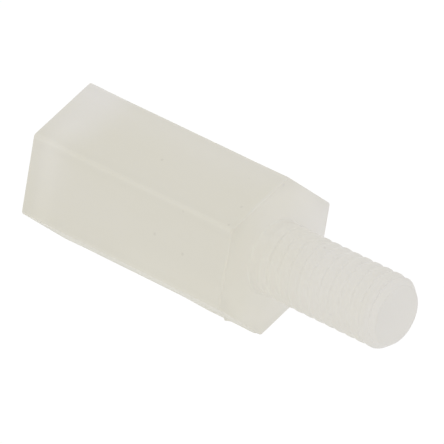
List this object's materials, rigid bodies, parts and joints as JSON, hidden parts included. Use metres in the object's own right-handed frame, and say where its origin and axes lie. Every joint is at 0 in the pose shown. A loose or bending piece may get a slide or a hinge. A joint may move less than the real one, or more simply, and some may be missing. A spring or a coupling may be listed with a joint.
{
  "type": "hex standoff",
  "caption": "Short hexagonal spacer in milky nylon with a threaded stud at one end and a tapped blind hole in the other, for holding circuit boards apart.",
  "frame": {"origin": "on the part's axis in the plane of the shoulder, where the stud leaves the hexagonal body", "axes": "+X along the axis towards the stud's tip, +Z out of the top flat of the hexagon, so that the part lies on the opposite flat; +Y follows by the right-hand rule and points at a long edge"},
  "size_m": [0.016, 0.0064, 0.0054],
  "materials": {
    "nylon": "natural nylon as moulded: milky off-white, translucent, soft satin sheen"
  },
  "bodies": {
    "root": {"hex_standoff": "nylon"}
  },
  "joints": []
}
